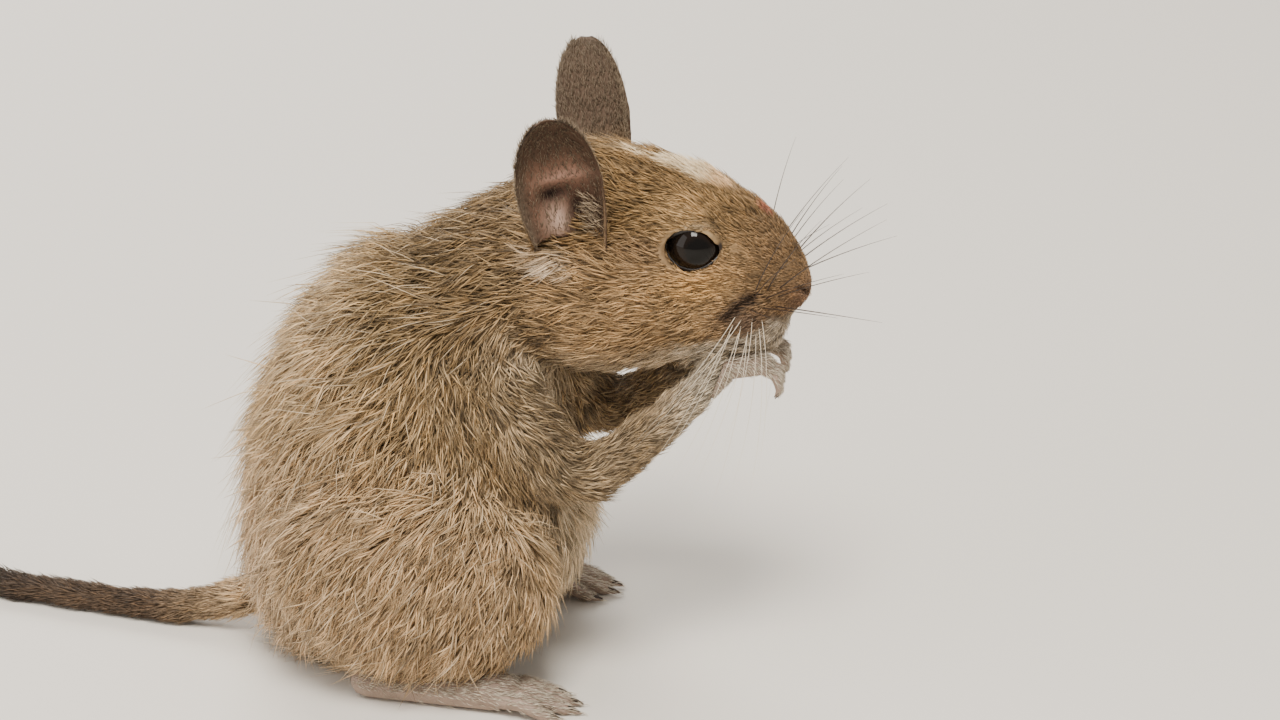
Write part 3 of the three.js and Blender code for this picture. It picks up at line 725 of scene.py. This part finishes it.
for side, centre in EYE_CENTRES.items():
    outward = OUTWARD[side]
    ball = bmesh.new()
    bmesh.ops.create_uvsphere(ball, u_segments=BALL_SEGMENTS, v_segments=BALL_ROWS, radius=EYE_RADIUS)
    mesh = bpy.data.meshes.new("eye_" + side)
    ball.to_mesh(mesh)
    ball.free()
    local = places(mesh)
    gaze = np.array(Vector((0.25, outward, 0.04)).normalized())
    spread = np.arccos(np.clip(local @ gaze / EYE_RADIUS, -1, 1))
    iris = blend_step(1.05, 0.75, spread) * blend_step(0.42, 0.55, spread)
    paint(mesh, tinted(linear(10, 8, 7), linear(24, 16, 11), iris * 0.8))
    set_places(mesh, local + np.array(centre))
    eye = new_piece("eyeball_" + side, mesh)
    mesh.materials.append(eye_finish)
    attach(eye, "root")
    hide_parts("eye_" + side)
    rows = []
    outline = almond(LID_POINTS)
    reach = np.linalg.norm(outline, axis=1)
    way = outline / reach[:, None]
    opened = np.arcsin(np.clip(reach * MM / EYE_RADIUS, 0, 0.955))
    for out, proud in LID_ROWS:
        angle = opened + out * MM / EYE_RADIUS
        radius = EYE_RADIUS + proud * MM
        rows.append(np.array(centre) + radius * np.column_stack(
            [way[:, 0] * np.sin(angle), outward * np.cos(angle), way[:, 1] * np.sin(angle)]))
    mesh = ring_mesh("lids_" + side, rows, closed=True)
    shade_rows = np.repeat([row[0] for row in LID_ROWS], LID_POINTS)
    corner = np.tile(blend_step(0.86, 0.99, np.abs(way[:, 0])), len(LID_ROWS))
    outer_rim = blend_step(0.3, 0.8, shade_rows - 1.2 * corner)
    paint(mesh, tinted(linear(24, 18, 15), linear(118, 92, 66), outer_rim))
    lids = new_piece("lids_" + side, mesh)
    mesh.materials.append(lid_finish)
    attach(lids, "root")

# Ears
# Thin rounded cups of dark skin: brown and bare inside with low folds running down to the canal,
# a paler lobe at the foot, and short grey hair on the back and along the front margin. Painted
# shade darkens the hollows and the canal, and a painted highlight lies along the fold's ridge.
EAR_FOOT, EAR_TIP = (38.4, 14, 77.6), (40.8, 20, 104.6)
EAR_HALF_WIDTH, EAR_CUP, EAR_TURN, EAR_WALL = 7.1, 4.6, 0.44, 0.75
EAR_FOOT_WIDTH, EAR_WIDEST_AT, EAR_ROUND_TO = 0.72, 0.52, 1.004
EAR_RIM_OUT, EAR_LEAN, EAR_ROUNDNESS = 1.4, 1.6, 1.4

ear_finish, shader, start = material("ear_skin", True, Roughness=0.7, Specular_IOR_Level=0.18)
pores = texture(start, "ShaderNodeTexNoise", Scale=1800.0, Detail=4.0)
feed(shader, "Roughness", 0.62 + pores * 0.25)
bumped(shader, pores, 0.6, 0.0003)


def ear_width(up):
    """How wide the ear is: it narrows to its foot, and above its widest place it is half an ellipse."""
    below = np.sin(math.pi / 2 * np.clip(up / EAR_WIDEST_AT, 0, 1))
    below = EAR_FOOT_WIDTH + (1 - EAR_FOOT_WIDTH) * below
    above = np.clip((up - EAR_WIDEST_AT) / (EAR_ROUND_TO - EAR_WIDEST_AT), 0, 1)
    return np.where(up > EAR_WIDEST_AT, np.sqrt(1 - above ** 2), below)


def mound(across, up, at_across, at_up, wide, tall):
    return np.exp(-((across - at_across) / wide) ** 2 - ((up - at_up) / tall) ** 2)


def ear_frame(side):
    outward = OUTWARD[side]
    foot = np.array([0, outward * EAR_FOOT[1], EAR_FOOT[2]]) - [EAR_FOOT[0], 0, 0]
    rise = np.array([-EAR_TIP[0], outward * EAR_TIP[1], EAR_TIP[2]]) - foot
    out = np.array([math.sin(EAR_TURN), outward * math.cos(EAR_TURN), 0])
    ahead = np.cross(out, rise) * outward
    return foot, rise, out, ahead / np.linalg.norm(ahead)


def ear_face(side, up, across, wall):
    """A place on the ear: up from its foot, across from back to front, 0 to 1 through its wall."""
    foot, rise, out, ahead = ear_frame(side)
    wide = ear_width(up)
    half = EAR_HALF_WIDTH * wide - 0.25 * wall
    cup = EAR_CUP * (0.45 + 0.55 * wide) * (1.15 - 0.55 * up)
    cup = cup * np.sqrt(np.clip((EAR_ROUND_TO - up) / 0.16, 0, 1))
    hollow = EAR_RIM_OUT - cup * np.maximum(1 - across ** 2, 0) ** (EAR_ROUNDNESS / 2)
    ridge = 0.75 * mound(across, up, 0.15 + 0.2 * across, 0.55, 0.6, 0.035)
    lobe = 1.5 * mound(across, up, -0.05, 0.24, 0.24, 0.1)
    brace = 0.6 * mound(across, up, -0.55 + 0.35 * (0.5 - up), 0.36, 0.1, 0.16)
    pits = mound(across, up, -0.1, 0.45, 0.34, 0.05) + 1.3 * mound(across, up, 0.5, 0.3, 0.22, 0.12)
    rim = 0.25 * np.exp(-((1 - np.abs(across)) / 0.08) ** 2)
    sunk = 7 * blend_step(0.2, 0, up) * blend_step(0.3, -0.8, across)
    depth = hollow + (1 - wall) * (ridge + lobe + brace) - pits + rim - wall * EAR_WALL - sunk
    spot_at = foot + rise * up[..., None] + ahead * (half * across + EAR_LEAN * (0.5 - up))[..., None]
    return (spot_at + out * depth[..., None] + [NOSE / MM, 0, 0]) * MM


EAR_ROWS, EAR_COLUMNS = 70, 49
# Each kind of ear hair: how many, through the wall from 0 to 1, lengths, and how pale at most
EAR_HAIR = [("inner", 1500, 0.0, (0.7, 1.6), 0.35), ("outer", 5200, 1.0, (0.9, 1.6), 0.22),
            ("margin", 1200, 0.5, (1, 2), 0.4), ("fringe", 110, 0.0, (1.8, 4.2), 0.9)]
EAR_HAIR_WIDTH = 0.1
for side in OUTWARD:
    up = np.repeat(np.sin(np.linspace(0, math.pi / 2, EAR_ROWS)), EAR_COLUMNS).reshape(EAR_ROWS, EAR_COLUMNS)
    across = np.tile(np.sin(np.linspace(-math.pi / 2, math.pi / 2, EAR_COLUMNS)), (EAR_ROWS, 1))
    inner = ear_face(side, up, across, np.zeros_like(up))
    outer = ear_face(side, up, across, np.ones_like(up))
    rings = np.concatenate([inner, outer[:, ::-1]], axis=1)
    count = rings.shape[1]
    caps = [(base + j, base + j + 1, base + count - 2 - j, base + count - 1 - j)
            for base in (0, (EAR_ROWS - 1) * count) for j in range(EAR_COLUMNS - 1)]
    mesh = ring_mesh("ear_" + side, rings, caps)
    ups = np.concatenate([up, up[:, ::-1]], axis=1).ravel()
    acrosses = np.concatenate([across, across[:, ::-1]], axis=1).ravel()
    inside = np.concatenate([np.ones_like(up), np.zeros_like(up)], axis=1).ravel()
    bare = blend_step(0.78, 0.58, ups) * blend_step(0.9, 0.5, np.abs(acrosses))
    margin = blend_step(-0.6, -0.9, acrosses) * blend_step(0.8, 0.5, ups)
    skin_tone = tinted(linear(72, 54, 42), linear(118, 88, 72), bare)
    skin_tone = tinted(skin_tone, linear(104, 88, 74), 0.8 * margin)
    # A painted highlight along the ridge of the fold
    skin_tone = tinted(skin_tone, linear(158, 122, 106), 0.8 * mound(acrosses, ups, 0.2, 0.56, 0.5, 0.05))
    skin_tone = tinted(skin_tone, linear(178, 150, 134), mound(acrosses, ups, -0.08, 0.23, 0.36, 0.14))
    # Painted shade in the hollow below the fold and in the canal
    painted_pit_shade = mound(acrosses, ups, -0.1, 0.44, 0.42, 0.055) + mound(acrosses, ups, 0.52, 0.29, 0.27, 0.15)
    skin_tone = tinted(skin_tone, linear(32, 19, 17), painted_pit_shade.clip(0, 0.97))
    outside = tinted(linear(84, 68, 56), linear(130, 106, 80), blend_step(0.55, 0.2, ups))
    paint(mesh, tinted(outside, skin_tone, inside))
    ear = new_piece("ear_cup_" + side, mesh)
    mesh.materials.append(ear_finish)
    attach(ear, "root")
    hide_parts("ear_" + side)

    draw = np.random.default_rng(31)
    foot, rise, out, ahead = ear_frame(side)
    ear_axis = (at(EAR_FOOT[0], 0, EAR_FOOT[2]), at(EAR_TIP[0], 0, EAR_TIP[2]))
    for name, number, wall, lengths, paleness in EAR_HAIR:
        u = draw.uniform(0.06, 0.97, number)
        if name == "inner":
            a = draw.uniform(-0.95, 0.95, number)
        elif name == "outer":
            a = np.sin(draw.uniform(-1.5, 1.5, number))
            u = draw.uniform(0.06, 0.98, number) ** 1.25
        elif name == "margin":
            a = np.where(draw.random(number) < 0.5, 1, -1) * draw.uniform(0.93, 1, number)
        else:
            a = draw.uniform(0.7, 0.98, number)
            u = 0.1 + 0.28 * draw.beta(1.6, 1.6, number)
        walls = np.full(number, wall)
        root = ear_face(side, u, a, walls)
        step_up = ear_face(side, u + 0.01, a, walls) - root
        nearer, farther = (ear_face(side, u, a + step, walls) for step in (-0.012, 0.008))
        face = unit(np.cross(step_up, farther - nearer))
        face = face * np.sign(face @ (out if wall < 0.5 else -out))[:, None]
        lie_up = unit(step_up) + 0.25 * draw.normal(size=(number, 3))
        lift = draw.uniform(0.15, 0.5, number)
        if name == "margin":
            face = unit(np.outer(np.sign(a), ahead) + 0.3 * out)
            lie_up = lie_up + 0.3 * np.outer(np.sign(a), ahead)
        if name == "fringe":
            face = np.tile(out, (number, 1))
            lie_up = np.tile(unit(rise[None])[0] - ahead, (number, 1)) + 0.35 * draw.normal(size=(number, 3))
        length = draw.uniform(*lengths, number)
        if name == "outer":
            length = length * np.interp(u, [0.1, 0.45], [2, 1])
        tone = tinted(linear(74, 60, 47), linear(200, 178, 148), draw.uniform(0, 1, number) * paleness)
        if name == "outer":
            tone = tinted(tone, FUR["forehead"], blend_step(0.5, 0.12, u))
        tuft_piece(f"ear_hair_{name}_{side}", root, face, lie_up, length, EAR_HAIR_WIDTH, lift, tone,
                   [0.8, 1, 1.1], ear_axis, fur_finish, SHALLOW)

# Paws and feet
# Bare grey-pink skin with small scales, soft pads and sparse short hair above; the claws are
# dark horn, curved and pointed, set into the ends of the fingers and toes.
PAW_SWELL, PAW_HAIR_WIDTH = 0.04 * MM, 0.12
# How fine each is drawn, in millimetres
PAWS = {"forepaw_left": 0.22, "forepaw_right": 0.22, "hind_foot_left": 0.3, "hind_foot_right": 0.3}


def mixed(value, low, high):
    """The colour that runs from low to high with the value."""
    return value.node("ShaderNodeMix", {"data_type": "RGBA"}, output=2, i0=value,
                      i6=(*low, 1), i7=(*high, 1))


paw_finish, shader, start = material("paw_skin", Roughness=0.6)
blotch = texture(start, "ShaderNodeTexNoise", Scale=500.0, Detail=3.0)
feed(shader, "Base Color", mixed(blotch, linear(126, 106, 92), linear(168, 146, 130)))
feed(shader, "Roughness", 0.5 + blotch * 0.2)
scales = texture(start, "ShaderNodeTexVoronoi", {"feature": "DISTANCE_TO_EDGE"}, Scale=1700.0)
bumped(shader, scales, 0.6, 0.0003)

for name, voxel in PAWS.items():
    paw = fused(name + "_skin", [name], voxel * MM, PAW_SWELL)
    spots = relaxed(paw.data, places(paw.data), 3)
    spots[:, 2] = np.maximum(spots[:, 2], PAW_CLEAR)
    set_places(paw.data, spots)
    paw.data.materials.append(paw_finish)
    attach(paw, "root")
    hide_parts(name)
    spots, facing = places(paw.data), normals_of(paw.data)
    hind = "hind" in name
    top = facing[:, 2] > 0.1 if hind else facing[:, 0] + facing[:, 2] > -0.2
    root, face, _, _ = roots_on(paw.data, np.where(top, 6.0 if hind else 12.0, 0.5), 41)
    draw = np.random.default_rng(42)
    number = len(root)
    forwards = np.array([1.0, 0, -0.15] if hind else [0.7, 0, -0.7]) + 0.14 * draw.normal(size=(number, 3))
    tone = tinted(linear(158, 142, 122), linear(232, 220, 200), draw.random(number))
    low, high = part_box(name)
    long = draw.uniform(1, 1.9, number) * (1 if hind else np.interp(root[:, 2] / MM, [53, 59], [0.4, 1]))
    tuft_piece(name + "_hair", root, face, forwards, long, PAW_HAIR_WIDTH, draw.uniform(0.2, 0.5, number),
               tone, [0.6, 1, 1.1], (low, high), fur_finish, SHALLOW)

# Whiskers
# Stiff tapering hairs, dark above and pale below, fanned from the pads beside the nose.


def tapered_tree(name):
    """Grows a tapered round hair or claw along each line of a mesh."""
    tree = bpy.data.node_groups.new(name, "GeometryNodeTree")
    kinds = {"Geometry": "Geometry", "Root radius": "Float", "Finish": "Material"}
    inputs = [tree.interface.new_socket(label, in_out="INPUT", socket_type="NodeSocket" + kind).identifier
              for label, kind in kinds.items()]
    tree.interface.new_socket("Geometry", in_out="OUTPUT", socket_type="NodeSocketGeometry")
    entry, leave = tree.nodes.new("NodeGroupInput"), tree.nodes.new("NodeGroupOutput")
    lines, root_radius, finish = (Paint(tree, entry.outputs[k]) for k in range(3))
    thin = lines.node("ShaderNodeMapRange", Value=lines.node("GeometryNodeSplineParameter"),
                      To_Min=1.0, To_Max=0.12)
    radius = thin * root_radius
    curve = lines.node("GeometryNodeMeshToCurve", i0=lines)
    curve = lines.node("GeometryNodeSetCurveRadius", Curve=curve, Radius=radius)
    circle = lines.node("GeometryNodeCurvePrimitiveCircle", Resolution=6, Radius=1.0)
    tube = lines.node("GeometryNodeCurveToMesh", Curve=curve, Profile_Curve=circle, Fill_Caps=True)
    if "Scale" in tube.socket.node.inputs:
        tree.links.new(radius.socket, tube.socket.node.inputs["Scale"])
    real = lines.node("GeometryNodeRealizeInstances", i0=tube)
    dressed = lines.node("GeometryNodeSetMaterial", Geometry=real, Material=finish)
    tree.links.new(dressed.socket, leave.inputs[0])
    return tree, inputs[1], inputs[2]


TAPERED, RADIUS_ID, FINISH_ID = tapered_tree("tapered_hair")


def grown(name, lines, radius, finish):
    """A piece with a tapered hair along each line of points. All lines have as many points."""
    long = len(lines[0])
    edges = [(base + i, base + i + 1) for base in range(0, len(lines) * long, long) for i in range(long - 1)]
    mesh = bpy.data.meshes.new(name)
    mesh.from_pydata(np.concatenate(lines), edges, [])
    piece = new_piece(name, mesh)
    growth = piece.modifiers.new("grow", "NODES")
    growth.node_group = TAPERED
    growth[RADIUS_ID] = radius
    growth[FINISH_ID] = finish
    applied(piece)
    piece.data.polygons.foreach_set("use_smooth", np.full(len(piece.data.polygons), True))
    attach(piece, "root")
    return piece


def bowed(root, direction, length, droop, count=12):
    """A line from a root that starts out straight and droops towards its tip."""
    t = np.linspace(0, 1, count)[:, None]
    return root + direction * length * t + np.array(droop) * length * t ** 2


dark_hair = material("dark_hair", Base_Color=(*linear(52, 40, 32), 1), Roughness=0.4)[0]
pale_hair = material("pale_hair", Base_Color=(*linear(222, 208, 186), 1), Roughness=0.4)[0]
draw = np.random.default_rng(52)
# The dark ones sweep up and forwards from the upper pad, and the pale ones hang from the lower
UPPER = {"columns": 3, "back": 4.8, "height": 71.4, "sunk": 0.3, "step": 1.9, "long": (20, 26)}
LOWER = {"columns": 4, "back": 7.6, "height": 67.4, "sunk": 0, "step": 1.35, "long": (24, 33)}
for side, outward in OUTWARD.items():
    for kind, bed in (("dark", UPPER), ("pale", LOWER)):
        lines = []
        for row in range(3):
            for column in range(bed["columns"]):
                back = bed["back"] + bed["step"] * column + 0.4 * row
                wide = np.interp(back, [2, 4, 6, 9, 13], [3.2, 4.9, 6.3, 7.8, 9.2]) - bed["sunk"]
                root = np.array(at(back, outward * wide, bed["height"] - 1.5 * row))
                if kind == "dark":
                    aim = (0.75 - 0.3 * column, outward * (0.5 + 0.1 * row), 0.9 - 0.32 * row)
                else:
                    aim = (0.12 - 0.17 * column, outward * 0.5, -0.55 - 0.2 * row)
                aim = unit(np.array([aim]) + 0.07 * draw.normal(size=(1, 3)))[0]
                droop = (0.1, -0.06 * outward, -0.05) if kind == "dark" else (-0.2, -0.12 * outward, -0.12)
                lines.append(bowed(root, aim, draw.uniform(*bed["long"]) * MM, droop))
        finish = dark_hair if kind == "dark" else pale_hair
        grown(f"whiskers_{kind}_{side}", lines, (0.13 if kind == "dark" else 0.055) * MM, finish)

# Claws
# Each toe and finger ends in a dark horn claw, bent down a little to its point.
claw_finish, shader, start = material("claw", Roughness=0.3)
horn = texture(start, "ShaderNodeTexNoise", Scale=900.0)
feed(shader, "Base Color", mixed(horn, linear(34, 26, 21), linear(70, 56, 44)))
FOOT_SIDE, BALL, TOE, SPLAY = 23, 49, 38, 3.1
KNUCKLE_BACK, KNUCKLE_SIDE, FINGER_REACH, FINGER_SPREAD, FINGERTIP = 8.4, 5, 3.9, 1.35, 53.2
for side, outward in OUTWARD.items():
    toes, fingers = [], []
    for place_of in (-1.5, -0.5, 0.5, 1.5):
        outer = abs(place_of) > 1
        root = at(TOE + 0.2 + 2.6 * outer, outward * (FOOT_SIDE + place_of * SPLAY), 1.15)
        toes.append(bowed(np.array(root), np.array([0.98, 0, 0.12]), 3 * MM, (0, 0, -0.3), 6))
        root = at(KNUCKLE_BACK - FINGER_REACH, outward * KNUCKLE_SIDE + place_of * FINGER_SPREAD,
                  FINGERTIP + 0.3 + 0.9 * outer)
        fingers.append(bowed(np.array(root), np.array([0.1, 0, -1.0]), 1.9 * MM, (-0.5, 0, 0.1), 6))
    root = at(BALL - 0.3, outward * (FOOT_SIDE - 5), 1.1)
    toes.append(bowed(np.array(root), np.array([0.98, 0, 0.1]), 1.9 * MM, (0, 0, -0.3), 6))
    grown("toe_claws_" + side, toes, 0.72 * MM, claw_finish)
    grown("finger_claws_" + side, fingers, 0.42 * MM, claw_finish)

# Tail brush
# The tail ends in stiff black bristles that lengthen from half way and lie along it.
TAIL_WAVE = 13


def tail_spot(back, height):
    side = TAIL_WAVE * np.sin((back - 96) / 62) ** 2 * np.sign(back - 96)
    return np.column_stack([NOSE - back * MM, side * MM, np.broadcast_to(height, back.shape) * MM])


BRUSH_START, BRUSH_END, RINGS, SIDES, BRISTLES = 154, 183, 40, 16, 3600
brush_finish = material("brush", True, Roughness=0.5)[0]
draw = np.random.default_rng(61)
core_backs = np.linspace(BRUSH_START, BRUSH_END, RINGS)
core_radius = np.interp(core_backs, [154, 164, 176, 183], [2.3, 2.1, 1.6, 0.4])
centres = tail_spot(core_backs, np.maximum(core_radius, 1.2) + 0.7)
ahead = unit(np.gradient(centres, axis=0))
aside = unit(np.cross(ahead, [[0.0, 0.0, 1.0]]))
above = np.cross(aside, ahead)
angles = np.linspace(0, 2 * math.pi, SIDES, endpoint=False)[:, None]
way = aside[:, None] * np.cos(angles) + above[:, None] * np.sin(angles)
rings = centres[:, None] + way * core_radius[:, None, None] * MM
caps = [tuple(range(SIDES)), tuple(range((RINGS - 1) * SIDES, RINGS * SIDES))[::-1]]
mesh = ring_mesh("tail_tip", rings, caps)
paint(mesh, np.tile(linear(40, 32, 26), (len(mesh.vertices), 1)))
tail_tip = new_piece("tail_tip", mesh)
mesh.materials.append(brush_finish)
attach(tail_tip, "root")
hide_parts("tail_brush")
spots_on = draw.uniform(0, 1, BRISTLES) ** 0.8 * (RINGS - 1)
row = spots_on.astype(int).clip(0, RINGS - 2)
turn_at = draw.uniform(0, 2 * math.pi, BRISTLES)[:, None]
face = aside[row] * np.cos(turn_at) + above[row] * np.sin(turn_at)
root = centres[row] + (centres[row + 1] - centres[row]) * (spots_on - row)[:, None]
root = root + face * core_radius[row][:, None] * MM
length = np.interp(core_backs[row], [154, 162, 172, 183], [6, 8, 12, 15]) * draw.uniform(0.6, 1.1, BRISTLES)
tone = tinted(linear(34, 27, 23), linear(78, 62, 50), draw.random(BRISTLES) ** 2)
lie = ahead[row] + 0.1 * draw.normal(size=(BRISTLES, 3))
width = draw.uniform(0.16, 0.3, BRISTLES)
lift = np.interp(core_backs[row], [154, 165, 183], [0.25, 0.34, 0.2]) * draw.uniform(0.3, 1.3, BRISTLES)
tuft_piece("tail_bristles", root, face, lie, length, width, lift, tone, [0.8, 1, 1.15],
           (at(BRUSH_START, 0, 3), at(200, 10, 3)), brush_finish)

# Camera
# It looks at the animal's right side from a little above and ahead, as the photograph does.
camera_data = bpy.data.cameras.new("camera")
camera = bpy.data.objects.new("camera", camera_data)
bpy.context.scene.collection.objects.link(camera)
bpy.context.scene.camera = camera
camera_data.sensor_width = 36
DISTANCE, SEEN_WIDTH = 700 * MM, 215 * MM
camera_data.lens = camera_data.sensor_width * DISTANCE / SEEN_WIDTH
turn, rise = math.radians(8), math.radians(23)
target = at(28.7, 0, 55)
offset = Vector((math.sin(turn) * math.cos(rise), -math.cos(turn) * math.cos(rise), math.sin(rise)))
camera.location = target + offset * DISTANCE
camera.rotation_euler = offset.to_track_quat("Z", "Y").to_euler()

# Stage
# A plain pale floor and soft studio light: a warm key, a wide fill and a rim from behind.
FLOOR_HALF = 1.5
floor_mesh = bpy.data.meshes.new("floor")
floor_corners = [(x * FLOOR_HALF, y * FLOOR_HALF, 0) for x, y in ((-1, -1), (1, -1), (1, 1), (-1, 1))]
floor_mesh.from_pydata(floor_corners, [], [(0, 1, 2, 3)])
floor = new_piece("floor", floor_mesh, smooth=False)
floor_mesh.materials.append(material("floor", Roughness=0.9, Base_Color=(0.72, 0.68, 0.62, 1))[0])

# Each lamp: its place, its size, its power and its colour
LIGHTS = [("key", (0.1, -0.45, 0.85), 0.34, 13, (1, 0.95, 0.87)),
          ("fill", (-0.7, -0.45, 0.4), 0.8, 5, (1, 0.96, 0.92)),
          ("rim", (-0.3, 0.7, 0.6), 0.5, 8, (1, 0.97, 0.93))]
for name, place_at, size, power, colour in LIGHTS:
    lamp_data = bpy.data.lights.new(name, "AREA")
    lamp_data.size = size
    lamp_data.energy = power
    lamp_data.color = colour
    lamp = bpy.data.objects.new(name, lamp_data)
    lamp.location = place_at
    lamp.rotation_euler = (Vector(place_at) - target).to_track_quat("Z", "Y").to_euler()
    bpy.context.scene.collection.objects.link(lamp)

world = bpy.data.worlds.new("studio")
world.use_nodes = True
glow = world.node_tree.nodes["Background"].inputs
glow["Color"].default_value, glow["Strength"].default_value = (1, 0.97, 0.92, 1), 0.56
bpy.context.scene.world = world
